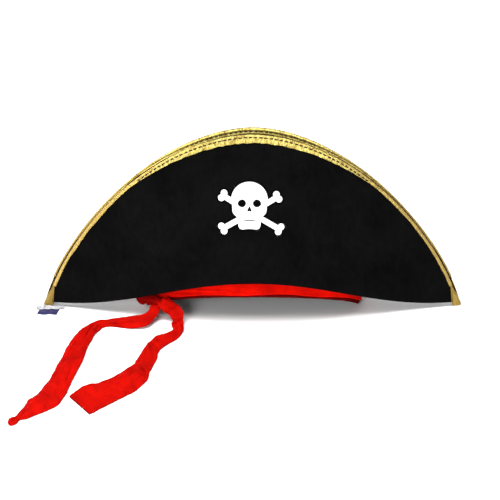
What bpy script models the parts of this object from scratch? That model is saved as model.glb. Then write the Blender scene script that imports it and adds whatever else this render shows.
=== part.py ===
"""Costume pirate hat: two padded half-moon brim panels bound with metallic ribbon and joined
at both tips, a soft two-piece crown between them, a red sash round the head opening with two
tails lying on the ground, and two small care labels.  Metres, +Z up, the front faces -Y."""
import math

import bmesh
import bpy
from mathutils import Vector
from mathutils.geometry import delaunay_2d_cdt

MM = 0.001
GAP = 0.30 * MM
SHARP_ANGLE = math.radians(35.0)

# brim panels: outline seen from the front; the curved edge is a superellipse for each panel
PANEL_END = 0.2205          # where the panels stop and the ribbon round the tip begins
FRONT_EDGE = {"top": 0.2041, "half": 0.2276, "bow": 1.866, "round": 0.746}
BACK_EDGE = {"top": 0.2034, "half": 0.2312, "bow": 1.856, "round": 0.757}
BOTTOM_HALF = 0.2315        # where the bottom edges would meet the middle plane
FRONT_ARCH = 0.0442         # how far the front bottom edge rises in the middle
FRONT_ARCH_POWER = 2.46
BACK_ARCH = 0.0200
BACK_ARCH_POWER = 1.2
BOTTOM_LIFT = 0.0051        # bottom edge height near the tips
# brim panels: plan shape
TIP_OUT = 0.0048            # outer face of a panel from the middle plane at the tips
BELLY = 0.0490              # extra bulge of the bottom edge in the middle
TOP_SPREAD = 0.0085         # extra spread of the top edge in the middle
STATIONS = 44
PROBE = 0.0010             # step for slopes along the panel
FACE_T = 0.60 * MM
CORE_T = 1.60 * MM
BACKING_T = 0.50 * MM
LIP = 3.6 * MM              # cloth turned in under the bottom edge
LAYERS_T = FACE_T + GAP + CORE_T + GAP + BACKING_T

# ribbon binding
TRIM_T = 0.60 * MM
TRIM_GAP = 0.32 * MM
TRIM_WIDTH = 12.0 * MM      # both legs together
TRIM_LEG = 7.6 * MM         # outer leg at the top of the curve
TRIM_LEG_LOW = 2.5 * MM     # outer leg at the sides
TRIM_NARROW = 0.130         # distance from the middle where it has become narrow
TRIM_INNER = 3.7 * MM       # the back ribbon's leg on the wearer's side, at the top
TRIM_INNER_LOW = 1.7 * MM   # and at the sides

WRAP_TOP = 0.0236           # height of the ribbon folded round each tip
WRAP_HALF_T = 0.0057

# crown and head opening
OPEN_A = 0.1163             # half length of the crown's base
OPEN_B = 0.0408             # half depth of the crown's base
RIM_RISE = 0.0270           # the front of the rim is arched up by this much
CROWN_SIDE = 0.034
CROWN_TOP = 0.120
CROWN_T = 1.2 * MM
CROWN_LIFT = 1.2 * MM
SWEAT_T = 1.2 * MM
SWEAT_H = 24.0 * MM
ELASTIC_HALF = math.radians(24.0)

# sash
SASH_H = 17.0 * MM
SASH_T = 4.8 * MM
KNOT_CENTRE = Vector((-0.1080, -0.0315, 0.0186))
KNOT_RADII = (0.0190, 0.0062, 0.0064)
KNOT_TURN = math.radians(-32.0)
TAIL_PIVOT = Vector((-0.1045, -0.0340, 0.0))
LONG_PATH = ((-110, -37, 8.6), (-113, -44, 6), (-122, -49, 3.4), (-135, -51, 0), (-153, -51, 0),
             (-171, -62, 0), (-183, -91, 0), (-188, -122, 0), (-192, -154, 0), (-196, -186, 0),
             (-203, -220, 0), (-215, -246, 0), (-229, -266, 0), (-244, -285, 0))
LONG_WIDTH = (14, 17, 18, 20, 21, 22, 23, 24, 25, 25, 27, 27, 22, 7)
SHORT_PATH = ((-99, -38, 8.6), (-90, -37, 8.6), (-82, -41, 7), (-78, -52, 2), (-82, -67, 0),
              (-94, -86, 0), (-104, -108, 0), (-110, -134, 0), (-115, -158, 0), (-128, -184, 0),
              (-147, -207, 0), (-167, -226, 0))
SHORT_WIDTH = (14, 17, 17, 17, 18, 18, 17, 19, 22, 30, 38, 43)
TAIL_T = 3.0 * MM
TAIL_SLANT = 0.55           # how far the cut ends lean off square

# labels under the left tip: each runs forwards from the pivot along a (y, z) line
LABEL_PIVOT = Vector((-0.2245, -0.0070, 0.0012))
CARE_LABEL = {"left": -0.2400, "right": -0.2090, "thick": 0.5 * MM,
              "line": ((-0.0074, 0.0010), (-0.0105, 0.0010), (-0.0165, 0.0010))}
SIZE_LABEL = {"left": -0.2370, "right": -0.2150, "thick": 0.4 * MM,
              "line": ((-0.0080, 0.0002), (-0.0180, 0.0001), (-0.0330, 0.0001))}

# printed emblem, centred on the front panel
EMBLEM_CENTRE = (-0.0034, 0.1260)
EMBLEM_T = 0.30 * MM
EMBLEM_STEP = 7.0
EMBLEM_CELLS = 6
BONE_HALF = 2.9
KNOB = 3.6


def clear_scene():
    for thing in list(bpy.data.objects):
        bpy.data.objects.remove(thing, do_unlink=True)


def material(name, colour, roughness, metallic=0.0):
    mat = bpy.data.materials.new(name)
    mat.use_nodes = True
    shader = mat.node_tree.nodes["Principled BSDF"]
    shader.inputs["Base Color"].default_value = (*colour, 1.0)
    shader.inputs["Roughness"].default_value = roughness
    shader.inputs["Metallic"].default_value = metallic
    return mat


def add_piece(name, bm, mat, pivot=None):
    """Close, orient and store one solid; a moving piece keeps its origin on its own axis."""
    bmesh.ops.triangulate(bm, faces=bm.faces[:])
    bmesh.ops.recalc_face_normals(bm, faces=bm.faces[:])
    if bm.calc_volume(signed=True) < 0:
        bmesh.ops.reverse_faces(bm, faces=bm.faces[:])
    offset = pivot or Vector((0.0, 0.0, 0.0))
    for vert in bm.verts:
        vert.co -= offset
    mesh = bpy.data.meshes.new(name)
    bm.to_mesh(mesh)
    bm.free()
    obj = bpy.data.objects.new(name, mesh)
    obj.location = offset
    bpy.context.scene.collection.objects.link(obj)
    mesh.materials.append(mat)
    mesh.shade_smooth()
    mesh.set_sharp_from_angle(angle=SHARP_ANGLE)
    return obj


def loft(outer, inner, ring=False):
    """A solid between two lofted strips: outer and inner hold one path of equal length each
    per station.  The ends are closed with quads from path to path, unless it is a ring."""
    bm = bmesh.new()
    rows = [[bm.verts.new(p) for p in a + b[::-1]] for a, b in zip(outer, inner)]
    count = len(rows[0])
    last = len(rows) if ring else len(rows) - 1
    for i in range(last):
        low = rows[i]
        high = rows[(i + 1) % len(rows)]
        for j in range(count):
            k = (j + 1) % count
            bm.faces.new((low[j], low[k], high[k], high[j]))
    if not ring:
        for row in (rows[0], rows[-1][::-1]):
            for j in range(count // 2 - 1):
                bm.faces.new((row[j], row[j + 1], row[count - 2 - j], row[count - 1 - j]))
    return bm


def smooth_path(points, steps):
    """Catmull-Rom curve through the points."""
    pts = [Vector(p) for p in points]
    pts = [2 * pts[0] - pts[1]] + pts + [2 * pts[-1] - pts[-2]]
    out = []
    for i in range(1, len(pts) - 2):
        for s in range(steps):
            out.append(catmull(pts[i - 1:i + 3], s / steps))
    out.append(pts[-2].copy())
    return out


def catmull(four, t):
    a, b, c, d = four
    return 0.5 * (2 * b + (c - a) * t + (2 * a - 5 * b + 4 * c - d) * t ** 2
                  + (3 * b - a - 3 * c + d) * t ** 3)


# ---------------------------------------------------------------- brim panels

def station(u):
    return -PANEL_END * math.cos(math.pi * u)


def bump(x, half, power):
    return max(0.0, 1.0 - (x / half) ** 2) ** power


def bottom_point(x, side):
    rise = FRONT_ARCH if side < 0 else BACK_ARCH
    power = FRONT_ARCH_POWER if side < 0 else BACK_ARCH_POWER
    y = TIP_OUT + BELLY * bump(x, BOTTOM_HALF, 1.5)
    return Vector((x, side * y, BOTTOM_LIFT + rise * bump(x, BOTTOM_HALF, power)))


def edge_height(x, edge):
    return edge["top"] * (1.0 - abs(x / edge["half"]) ** edge["bow"]) ** edge["round"]


def edge_reach(z, edge):
    """Half width of the outline at a height."""
    return edge["half"] * (1.0 - (z / edge["top"]) ** (1 / edge["round"])) ** (1 / edge["bow"])


def top_point(x, side):
    y = TIP_OUT + TOP_SPREAD * bump(x, 0.200, 2.0)
    return Vector((x, side * y, edge_height(x, FRONT_EDGE if side < 0 else BACK_EDGE)))


def panel_frame(x, side):
    """Bottom point, unit ruling, inward normal and ruling length of a panel at one x."""
    low = bottom_point(x, side)
    high = top_point(x, side)
    ahead = bottom_point(x + PROBE, side) + top_point(x + PROBE, side)
    behind = bottom_point(x - PROBE, side) + top_point(x - PROBE, side)
    ruling = (high - low).normalized()
    normal = (ahead - behind).cross(ruling).normalized()
    if normal.y * side > 0:
        normal = -normal
    return low, ruling, normal, (high - low).length


def on_panel(x, z, depth, side):
    """Point at a depth below a panel's outer face (negative is proud of it)."""
    low, ruling, normal, _ = panel_frame(x, side)
    return low + ruling * ((z - low.z) / ruling.z) + normal * depth


def panel_strip(side, outer, inner):
    """Loft over all stations; outer and inner turn a ruling length into (depth, height) pairs."""
    paths = ([], [])
    for i in range(STATIONS + 1):
        low, ruling, normal, length = panel_frame(station(i / STATIONS), side)
        for path, pairs in zip(paths, (outer(length), inner(length))):
            path.append([low + ruling * h + normal * n for n, h in pairs])
    return loft(*paths)


def panel_layer(name, side, near, far, mat):
    """A flat layer of a panel between two depths below its outer face."""
    def rise(depth):
        return lambda length: ((depth, 0.0), (depth, length * 0.5), (depth, length))
    return add_piece(name, panel_strip(side, rise(near), rise(far)), mat)


def panel_face(name, side, mat):
    """The outer cloth, with a lip turned in under the panel's bottom edge."""
    under = GAP + FACE_T

    def outer(length):
        lip = ((LIP, -under), (0.25 * FACE_T, -under), (0.0, -0.6 * under))
        return lip + ((0.0, length * 0.5), (0.0, length))

    def inner(length):
        lip = ((LIP, -GAP), (1.3 * FACE_T, -GAP), (FACE_T, -0.6 * GAP))
        return lip + ((FACE_T, length * 0.5), (FACE_T, length))

    return add_piece(name, panel_strip(side, outer, inner), mat)


def trim_piece(name, side, mat):
    """Ribbon folded over the curved edge: a thin U swept along the outline."""
    paths = ([], [])
    for i in range(STATIONS + 1):
        x = station(i / STATIONS)
        _, ruling, normal, _ = panel_frame(x, side)
        top = top_point(x, side)
        tangent = (top_point(x + PROBE, side) - top_point(x - PROBE, side)).normalized()
        edge = (ruling - tangent * ruling.dot(tangent)).normalized()
        leg = TRIM_LEG_LOW + (TRIM_LEG - TRIM_LEG_LOW) * bump(x, TRIM_NARROW, 1.0)
        if side > 0:
            near = TRIM_INNER_LOW + (TRIM_INNER - TRIM_INNER_LOW) * bump(x, TRIM_NARROW, 1.0)
            leg = TRIM_WIDTH - near
        back_leg = TRIM_WIDTH - leg
        for path, a in zip(paths, (TRIM_GAP + TRIM_T, TRIM_GAP)):
            far = LAYERS_T + a
            fold = ((-a, 0.35 * a), (0.2 * a, a), (far - 1.2 * a, a), (far, 0.35 * a))
            line = [top - edge * leg] + [top + normal * n + edge * h for n, h in fold]
            line.append(top - edge * back_leg)
            line[0] = on_panel(line[0].x, line[0].z, -a, side)
            line[-1] = on_panel(line[-1].x, line[-1].z, far, side)
            path.append(line)
    return add_piece(name, loft(*paths), mat)


def tip_wrap(name, hand, mat):
    """Ribbon folded round the tip where both panels meet: a flat pad with a rounded nose."""
    inner = PANEL_END + 0.0006
    levels = 9
    paths = ([], [])
    for i in range(levels + 1):
        f = i / levels
        z = WRAP_TOP * f
        width = edge_reach(z, BACK_EDGE) + TRIM_T - inner
        thick = WRAP_HALF_T - 0.0006 * math.sin(math.pi * f)
        nose = 0.0022
        half = ((0.0, thick), (0.55, thick * 0.97), (0.86, 0.5 * (thick + nose)), (1.0, nose))
        for path, face in zip(paths, (-1, 1)):
            path.append([Vector((hand * (inner + width * p), face * q, z)) for p, q in half])
    return add_piece(name, loft(*paths), mat)


# ---------------------------------------------------------------- crown and head opening

def rim_height(angle):
    """Lower edge of the head opening: flat at the back, arched up at the front."""
    s = -math.sin(angle)
    if s <= 0:
        return 0.0
    soft = 0.05
    return RIM_RISE * (math.sqrt(s * s + soft * soft) - soft) / (math.sqrt(1 + soft * soft) - soft)


def crown_point(angle, height, inset):
    """Point of the crown's wall at a height over the rim, moved inwards by inset."""
    c = math.cos(angle)
    s = math.sin(angle)
    rim = rim_height(angle)
    arch = crown_arch(angle) - inset
    t = min(1.0, max(0.0, height - CROWN_LIFT) / (arch - rim - CROWN_LIFT))
    a = OPEN_A - inset - 0.002 * t
    b = OPEN_B - inset
    return Vector((a * c, b * s * (1 - t ** 1.3), rim + height))


def crown_arch(angle):
    """Height of the ridge seam, a D shape in the middle plane."""
    return CROWN_SIDE + (CROWN_TOP - CROWN_SIDE) * abs(math.sin(angle)) ** 0.8


def crown_half(name, side, mat):
    """One half of the crown: a cloth shell ending along the ridge in the middle plane."""
    steps = 36
    rows = (0.0, 0.1, 0.22, 0.4, 0.6, 0.8, 1.0)
    paths = ([], [])
    for i in range(steps + 1):
        angle = side * (math.pi * (1 - i / steps))
        for path, inset in zip(paths, (0.0, CROWN_T)):
            span = crown_arch(angle) - inset - rim_height(angle) - CROWN_LIFT
            line = [crown_point(angle, CROWN_LIFT + span * f, inset) for f in rows]
            path.append([p + Vector((0.0, side * GAP, 0.0)) for p in line])
    return add_piece(name, loft(*paths), mat)


def band(angles, outer, inner, ring=False):
    """Strip round the crown's wall; outer and inner are (inset, height) paths per angle."""
    paths = ([], [])
    for i, angle in enumerate(angles):
        for path, profile in zip(paths, (outer(i), inner(i))):
            path.append([crown_point(angle, h, inset) for inset, h in profile])
    return loft(*paths, ring=ring)


def spread(start, end, steps):
    return [start + (end - start) * i / steps for i in range(steps + 1)]


def sweatband(name, mat):
    near = CROWN_T + 0.60 * MM
    rows = (0.8 * MM, SWEAT_H / 2, SWEAT_H)
    half = math.pi - ELASTIC_HALF - 0.008
    angles = spread(-math.pi / 2 - half, -math.pi / 2 + half, 60)
    outer = [(near, h) for h in rows]
    inner = [(near + SWEAT_T, h) for h in rows]
    return add_piece(name, band(angles, lambda i: outer, lambda i: inner), mat)


def rear_elastic(name, mat):
    """Ruched elastic between the sweatband's ends."""
    rows = (3 * MM, 20 * MM)

    def inset(i):
        return CROWN_T + 0.95 * MM + (0.35 * MM if i % 2 else 0.0)

    angles = spread(math.pi / 2 - ELASTIC_HALF, math.pi / 2 + ELASTIC_HALF, 28)
    bm = band(angles, lambda i: [(inset(i), h) for h in rows],
              lambda i: [(inset(i) + 1.9 * MM, h) for h in rows])
    return add_piece(name, bm, mat)


# ---------------------------------------------------------------- sash

def sash_band(name, mat):
    """Folded cloth round the opening's edge: flat below, rounded outside."""
    near = -0.65 * MM
    full = near - SASH_T
    outside = ((full * 0.80, 0.0), (full * 0.95, 0.08 * SASH_H), (full, 0.35 * SASH_H),
               (full * 0.95, 0.72 * SASH_H), (full * 0.76, 0.94 * SASH_H), (full * 0.40, SASH_H))
    wall = [(near, SASH_H * f) for f in (0.0, 0.15, 0.3, 0.5, 0.75, 0.95)]
    angles = spread(0.0, 2 * math.pi, 72)[:-1]
    return add_piece(name, band(angles, lambda i: outside, lambda i: wall, ring=True), mat)


def sash_knot(name, mat):
    """The knotted lump beside the opening, where both tails start."""
    bm = bmesh.new()
    bmesh.ops.create_icosphere(bm, subdivisions=3, radius=1.0)
    along = Vector((math.cos(KNOT_TURN), math.sin(KNOT_TURN), 0.0))
    out = Vector((along.y, -along.x, 0.0))
    for vert in bm.verts:
        p = vert.co.copy()
        waist = 1.0 - 0.16 * math.exp(-(p.x / 0.30) ** 2) + 0.05 * math.cos(6.0 * p.x)
        local = along * (p.x * KNOT_RADII[0]) + out * (p.y * KNOT_RADII[1] * waist)
        vert.co = KNOT_CENTRE + local + Vector((0.0, 0.0, p.z * KNOT_RADII[2] * waist))
    return add_piece(name, bm, mat)


def tail(name, path, widths, slant, mat):
    """A loosely rolled strip of cloth lying on the ground."""
    steps = 3
    centre = smooth_path([(x * MM, y * MM, z * MM) for x, y, z in path], steps)
    wide = smooth_path([(w * MM, 0.0, 0.0) for w in widths], steps)
    under = ((-1.0, 0.3), (-0.94, 0.0), (0.0, 0.0), (0.94, 0.0), (1.0, 0.3))
    over = ((-0.85, 0.7), (-0.5, 1.0), (-0.1, 0.8), (0.35, 1.0), (0.8, 0.75))
    paths = ([], [])
    for i, point in enumerate(centre):
        run = centre[min(i + 1, len(centre) - 1)] - centre[max(i - 1, 0)]
        run.z = 0.0
        run.normalize()
        across = Vector((-run.y, run.x, 0.0))
        across += run * (slant * max(0.0, (i - len(centre) + 4) / 3))
        for line, profile in zip(paths, (under, over)):
            line.append([point + across * (w * wide[i].x / 2) + Vector((0.0, 0.0, h * TAIL_T))
                         for w, h in profile])
    return add_piece(name, loft(*paths), mat, TAIL_PIVOT)


# ---------------------------------------------------------------- labels

def strip_label(name, label, mat):
    """A sewn-in label: a thin strip along its (y, z) line."""
    paths = ([], [])
    for x in spread(label["left"], label["right"], 2):
        for path, lift in zip(paths, (0.0, label["thick"])):
            path.append([Vector((x, y, z + lift)) for y, z in label["line"]])
    return add_piece(name, loft(*paths), mat, LABEL_PIVOT)


# ---------------------------------------------------------------- emblem

def circle(cx, cz, rx, rz, count, start=0.0):
    turns = [start + 2 * math.pi * i / count for i in range(count)]
    return [(cx + rx * math.cos(t), cz + rz * math.sin(t)) for t in turns]


def bone(x1, z1, x2, z2):
    """Loops of one long bone: a shaft and two knobs at each end."""
    low = Vector((x1, z1))
    high = Vector((x2, z2))
    run = (high - low).normalized()
    side = Vector((-run.y, run.x)) * BONE_HALF
    shaft = [low - side, high - side, high + side, low + side]
    loops = [[(p.x, p.y) for p in shaft]]
    for end in (low, high):
        for sign in (-1, 1):
            knob = end + side * sign
            loops.append(circle(knob.x, knob.y, KNOB, KNOB, 12, 0.2))
    return loops


def emblem_solid():
    """A plain skull over two crossed bones, as overlapping loops in millimetres."""
    face = [(19.0, 6.0), (18.6, -1.5), (14.0, -6.5), (12.2, -10.0), (12.4, -17.6), (9.2, -20.2)]
    jaw = face + [(0.0, -18.6)] + [(-x, z) for x, z in reversed(face)]
    loops = [circle(0.0, 11.4, 19.6, 18.8, 28), jaw]
    loops += bone(-28.4, 15.2, 32.2, -20.0)
    loops += bone(-28.4, -19.2, 30.0, 13.9)
    return loops


def emblem_holes():
    holes = []
    for hand in (-1, 1):
        loop = circle(8.3, 7.6, 4.7, 4.3, 12)
        holes.append([(hand * x, z + 0.12 * (x - 8.3)) for x, z in loop])
    holes.append([(0.0, 4.6), (2.5, -0.9), (0.0, 0.2), (-2.5, -0.9)])
    holes.append([(-8.0, -9.6), (8.0, -9.6), (8.0, -10.7), (-8.0, -10.7)])
    return holes


def inside(loop, x, z):
    hit = False
    for i, (x1, z1) in enumerate(loop):
        x2, z2 = loop[(i + 1) % len(loop)]
        if (z1 > z) != (z2 > z):
            if x < x1 + (z - z1) * (x2 - x1) / (z2 - z1):
                hit = not hit
    return hit


def emblem(name, mat):
    solid = emblem_solid()
    holes = emblem_holes()

    def covered(x, z):
        if any(inside(loop, x, z) for loop in holes):
            return False
        return any(inside(loop, x, z) for loop in solid)

    loops = solid + holes
    coords = []
    edges = []
    for loop in loops:
        first = len(coords)
        coords += [Vector(p) for p in loop]
        edges += [(first + i, first + (i + 1) % len(loop)) for i in range(len(loop))]
    for i in range(-EMBLEM_CELLS, EMBLEM_CELLS + 1):
        for j in range(-EMBLEM_CELLS, EMBLEM_CELLS + 1):
            spot = (i * EMBLEM_STEP, j * EMBLEM_STEP)
            if covered(*spot) and all(math.dist(spot, q) > 2.0 for loop in loops for q in loop):
                coords.append(Vector(spot))
    verts, _, faces, _, _, _ = delaunay_2d_cdt(coords, edges, [], 0, 1e-4)
    kept = []
    for face in faces:
        x = sum(verts[i].x for i in face) / len(face)
        z = sum(verts[i].y for i in face) / len(face)
        if covered(x, z):
            kept.append(face)
    bm = bmesh.new()
    front = {}
    back = {}
    for i in sorted({i for face in kept for i in face}):
        x = EMBLEM_CENTRE[0] + verts[i].x * MM
        z = EMBLEM_CENTRE[1] + verts[i].y * MM
        front[i] = bm.verts.new(on_panel(x, z, -(GAP + EMBLEM_T), -1))
        back[i] = bm.verts.new(on_panel(x, z, -GAP, -1))
    border = {}
    for face in kept:
        bm.faces.new([front[i] for i in face])
        bm.faces.new([back[i] for i in reversed(face)])
        for a, b in zip(face, face[1:] + face[:1]):
            if border.pop((b, a), None) is None:
                border[(a, b)] = True
    for a, b in border:
        bm.faces.new((front[b], front[a], back[a], back[b]))
    return add_piece(name, bm, mat)


def build():
    clear_scene()
    for side, word in ((-1, "front"), (1, "back")):
        cloth = material(word + "_panel_cloth", (0.012, 0.012, 0.013), 0.95)
        foam = material(word + "_panel_foam", (0.30, 0.30, 0.31), 0.9)
        lining = material(word + "_panel_lining", (0.015, 0.015, 0.016), 0.9)
        ribbon = material(word + "_ribbon", (0.72, 0.50, 0.12), 0.35, 0.9)
        crown = material("crown_" + word + "_cloth", (0.02, 0.02, 0.02), 0.9)
        panel_face(word + "_panel_face", side, cloth)
        start = FACE_T + GAP
        panel_layer(word + "_panel_core", side, start, start + CORE_T, foam)
        start += CORE_T + GAP
        panel_layer(word + "_panel_backing", side, start, start + BACKING_T, lining)
        trim_piece(word + "_trim", side, ribbon)
        crown_half("crown_" + word, side, crown)
    for hand, word in ((-1, "left"), (1, "right")):
        tip_wrap(word + "_tip_wrap", hand, material(word + "_tip_ribbon", (0.68, 0.46, 0.10), 0.38, 0.9))
    sweatband("sweatband", material("sweatband_tape", (0.02, 0.02, 0.02), 0.8))
    rear_elastic("rear_elastic", material("elastic", (0.03, 0.03, 0.03), 0.7))
    sash_band("sash_band", material("sash_cloth", (0.70, 0.02, 0.01), 0.7))
    sash_knot("sash_knot", material("knot_cloth", (0.62, 0.02, 0.01), 0.7))
    long_cloth = material("long_tail_cloth", (0.72, 0.02, 0.01), 0.7)
    short_cloth = material("short_tail_cloth", (0.70, 0.02, 0.01), 0.7)
    tail("tail_long", LONG_PATH, LONG_WIDTH, 0.0, long_cloth)
    tail("tail_short", SHORT_PATH, SHORT_WIDTH, TAIL_SLANT, short_cloth)
    strip_label("care_label", CARE_LABEL, material("white_label", (0.85, 0.85, 0.86), 0.5))
    strip_label("size_label", SIZE_LABEL, material("navy_label", (0.02, 0.02, 0.09), 0.5))
    emblem("skull_print", material("print_white", (0.88, 0.88, 0.88), 0.45))


build()
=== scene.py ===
"""Looks of the costume pirate hat: cloth, ribbon, sash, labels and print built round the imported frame."""

import math

import bmesh
import bpy
import numpy as np
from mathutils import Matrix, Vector
from mathutils.geometry import delaunay_2d_cdt


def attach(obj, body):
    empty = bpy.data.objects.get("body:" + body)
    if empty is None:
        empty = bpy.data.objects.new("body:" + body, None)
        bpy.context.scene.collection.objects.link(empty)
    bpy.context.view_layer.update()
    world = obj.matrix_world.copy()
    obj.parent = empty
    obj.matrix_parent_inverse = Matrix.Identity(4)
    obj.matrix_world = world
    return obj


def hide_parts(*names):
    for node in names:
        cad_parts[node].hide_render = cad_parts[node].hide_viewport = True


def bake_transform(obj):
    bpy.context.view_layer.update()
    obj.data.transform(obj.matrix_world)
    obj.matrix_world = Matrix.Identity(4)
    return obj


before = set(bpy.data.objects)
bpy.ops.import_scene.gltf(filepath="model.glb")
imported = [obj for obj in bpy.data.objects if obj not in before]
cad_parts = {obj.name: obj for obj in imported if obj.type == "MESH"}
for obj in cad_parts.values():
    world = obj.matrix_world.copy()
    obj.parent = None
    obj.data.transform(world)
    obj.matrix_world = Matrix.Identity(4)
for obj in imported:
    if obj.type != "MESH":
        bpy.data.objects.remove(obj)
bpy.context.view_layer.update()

MM = 0.001

# ---- brim panels: the frame's own outline and plan shape
PANEL_END = 0.2205
FRONT_EDGE = {"top": 0.2041, "half": 0.2276, "bow": 1.866, "round": 0.746}
BACK_EDGE = {"top": 0.2034, "half": 0.2312, "bow": 1.856, "round": 0.757}
BOTTOM_HALF = 0.2315
FRONT_RISE = {"height": 0.0442, "power": 2.46}
BACK_RISE = {"height": 0.0200, "power": 1.2}
BOTTOM_LIFT = 0.0051
TIP_OUT = 0.0048
BELLY = 0.0490
TOP_SPREAD = 0.0085
PROBE = 0.0010
END_SKEW = 2.6 * MM        # how far the panels' ends lean outwards at the bottom
END_TOP = 0.0242           # height at which that lean has gone
CLOTH_T = 0.5 * MM
CLOTH_BEND = 0.75 * MM     # outer radius where the lip turns in
CORE_DEPTH = (0.95 * MM, 2.45 * MM)
LINING_DEPTH = (2.80 * MM, 3.25 * MM)
LAYERS_T = 3.3 * MM
LIP = 3.6 * MM
UNDER = 0.90 * MM          # how far the turned-in lip hangs below the panel

# ---- ribbon binding
RIBBON_T = 0.36 * MM
RIBBON_GAP = 0.34 * MM
RIBBON_WIDTH = 12.0 * MM
RIBBON_LEG = 7.6 * MM
RIBBON_LEG_LOW = 2.5 * MM
RIBBON_NARROW = 0.130
BACK_INNER = 3.7 * MM      # the back ribbon's leg on the wearer's side, at the top and at the sides
BACK_INNER_LOW = 0.2 * MM
RIBBON_STATIONS = 900
HEM_WANDER = 0.45 * MM
SQUEEZE = 0.80             # share of their thickness the layers lose under the ribbon near the tips
STITCH_PITCH = 5.6 * MM
STITCH_LENGTH = 4.0 * MM
STITCH_R = 0.85 * MM
STITCH_DOWN = 1.8 * MM     # from the fold to the stitch line
STITCH_REACH = 0.125       # the stitches stop this far from the middle
WRAP_TOP = {-1: 0.0240, 1: 0.0305}    # height of the ribbon round the tips, front and back
WRAP_BOTTOM = 0.35 * MM
WRAP_T = 0.42 * MM
WRAP_LAPS = ((0.2, 0.80), (0.5, 1.30), (0.8, 1.30), (1.1, 0.80))    # mm on to the panel, mm off it

# ---- crown, sweatband and sash
OPEN_A = 0.1163
OPEN_B = 0.0408
RIM_RISE = 0.0270
CROWN_SIDE = 0.034
CROWN_TOP = 0.120
CROWN_T = 1.0 * MM
CROWN_LIFT = 1.2 * MM
CROWN_NARROW = 2.0 * MM    # how much shorter half the ridge is than half the opening
SWEAT_H = 24.0 * MM
SWEAT_T = 0.9 * MM
SWEAT_GAP = 0.9 * MM       # between the crown's cloth and the tape
SWEAT_STITCH = {"rows": (2.6 * MM, 4.6 * MM), "pitch": 3.4 * MM, "r": 0.22 * MM, "length": 2.3 * MM}
ELASTIC_LOW = 3.0 * MM
ELASTIC_H = 17.0 * MM
ELASTIC_GATHERS = 26
ELASTIC_HALF = math.radians(24.0)
SASH_H = 17.0 * MM
SASH_T = 4.8 * MM
SASH_NEAR = -0.70 * MM     # inset of the sash's inner side: a little outside the opening
SASH_RADIUS = 85.0         # mm, its mean radius, for the run of its folds
KNOT_CENTRE = Vector((-0.1080, -0.0315, 0.0186))
KNOT_TURN = math.radians(-32.0)
KNOT_HALF = (17.4 * MM, 6.2 * MM, 6.6 * MM)     # half length, half depth and half height
KNOT_BACK = 6.6 * MM       # how far the lump is shifted towards its left end

# ---- tails
TAIL_HALF_T = 0.14 * MM
TAIL_LOW = 0.32 * MM       # height of the underside
TAIL_THIN = 1.15 * MM      # height of the upper side where nothing puffs it up
TAIL_TURN = 0.96           # share of the half width where the sides turn under
# left edge, right edge and puff of each station from the knot to the end, in mm
LONG_TAIL = (
    ((-109, -29, 16), (-102, -33, 17), 2.4), ((-113, -38, 10.5), (-102, -43, 10.5), 2.0),
    ((-118, -42, 6), (-107, -52, 6), 1.6), ((-131, -40, 3), (-115, -64, 3), 1.3),
    ((-145, -40, 1), (-129, -67, 1), 1.2), ((-157, -42, 0), (-143, -63, 0), 1.2),
    ((-167, -46, 0), (-155, -60, 0), 1.5), ((-176, -54, 0), (-163, -63, 0), 2.0),
    ((-185, -65, 0), (-166, -70, 0), 2.0), ((-191, -83, 0), (-171, -81, 0), 1.8),
    ((-194, -97, 0), (-173, -95, 0), 1.5), ((-198, -111, 0), (-175, -107, 0), 1.3),
    ((-201, -134, 0), (-177, -126, 0), 1.2), ((-204, -153, 0), (-179, -146, 0), 1.2),
    ((-206, -167, 0), (-182, -165, 0), 1.2), ((-208, -181, 0), (-185, -187, 0), 1.2),
    ((-213, -201, 0), (-189, -213, 0), 1.3), ((-219, -219, 0), (-194, -239, 0), 1.3),
    ((-226, -233, 0), (-204, -253, 0), 1.2), ((-230, -247, 0), (-216, -264, 0), 1.2),
    ((-233, -258, 0), (-224, -271, 0), 1.2), ((-235, -267, 0), (-230, -273, 0), 1.0),
    ((-238, -271, 0), (-232, -276, 0), 1.6), ((-241, -273, 0), (-233, -280, 0), 2.8),
    ((-242, -277, 0), (-236, -284, 0), 2.8), ((-241, -282, 0), (-239, -285, 0), 1.2)
)
SHORT_TAIL = (
    ((-103, -38, 17), (-93, -32, 22), 2.2), ((-101, -42, 14.5), (-90, -36, 21), 2.0),
    ((-98, -44, 11.6), (-85, -39, 18.6), 1.6), ((-93, -44, 8.6), (-80, -41, 15.6), 1.4),
    ((-89, -48, 6.4), (-76, -48, 11.8), 1.3), ((-86, -55, 3.4), (-76, -55, 7), 1.3),
    ((-88, -61, 1.4), (-75, -64, 3), 1.5), ((-86, -69, 0.5), (-76, -75, 1), 1.8),
    ((-93, -77, 0), (-80, -89, 0), 1.6), ((-104, -85, 0), (-89, -102, 0), 1.3),
    ((-110, -98, 0), (-97, -114, 0), 1.3), ((-114, -110, 0), (-100, -127, 0), 1.2),
    ((-117, -122, 0), (-101, -139, 0), 1.2), ((-120, -135, 0), (-104, -154, 0), 1.3),
    ((-123, -148, 0), (-107, -170, 0), 1.6), ((-131, -161, 0), (-108, -187, 0), 1.6),
    ((-141, -177, 0), (-114, -202, 0), 1.4), ((-149, -188, 0), (-121, -214, 0), 1.3),
    ((-160, -196, 0), (-131, -226, 0), 1.2), ((-174, -201, 0), (-145, -243, 0), 1.1),
    ((-186, -224, 0), (-162, -263, 0), 0.9)
)
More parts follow.
